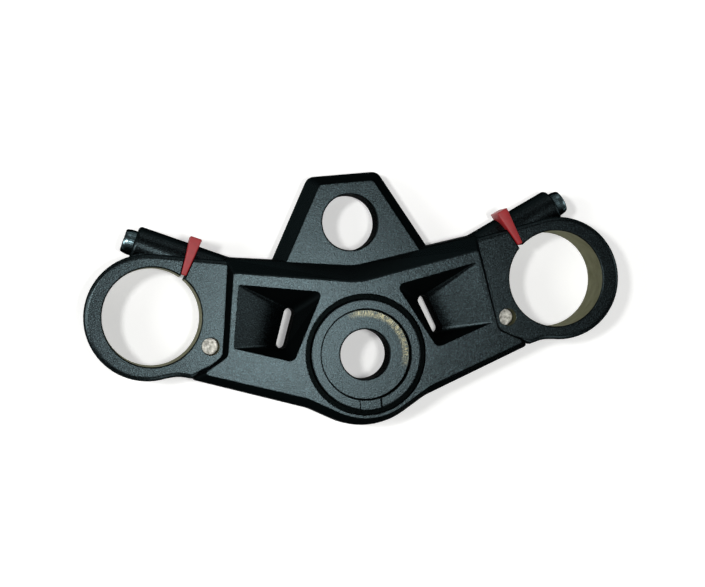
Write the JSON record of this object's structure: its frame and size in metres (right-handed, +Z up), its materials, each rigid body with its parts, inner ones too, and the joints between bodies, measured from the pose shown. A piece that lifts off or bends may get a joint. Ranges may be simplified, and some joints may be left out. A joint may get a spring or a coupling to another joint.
{
  "type": "motorcycle triple clamp",
  "caption": "Black cast fork yoke: split clamps at its ends, a ringed stem seat between sloped pockets, and a tongue in front with a bore for the ignition lock.",
  "frame": {"origin": "on the steering stem's axis, in the plane of the fork clamps' undersides, at the mouth of the nut recess", "axes": "+X to the right fork seen from above with the tongue pointing away, +Y to the front where the lock tongue is, +Z up along the stem and the fork tubes"},
  "size_m": [0.2782, 0.1302, 0.035],
  "materials": {
    "casting": "black textured powder coat over cast aluminium, bores machined bare",
    "bolt": "black oxide steel",
    "wedge": "moulded red plastic",
    "pin": "ground steel"
  },
  "bodies": {
    "root": {"yoke": "casting", "pinch_bolt_left": "bolt", "pinch_bolt_right": "bolt", "slit_wedge_left": "wedge", "slit_wedge_right": "wedge", "locating_pin_left": "pin", "locating_pin_right": "pin"}
  },
  "joints": []
}
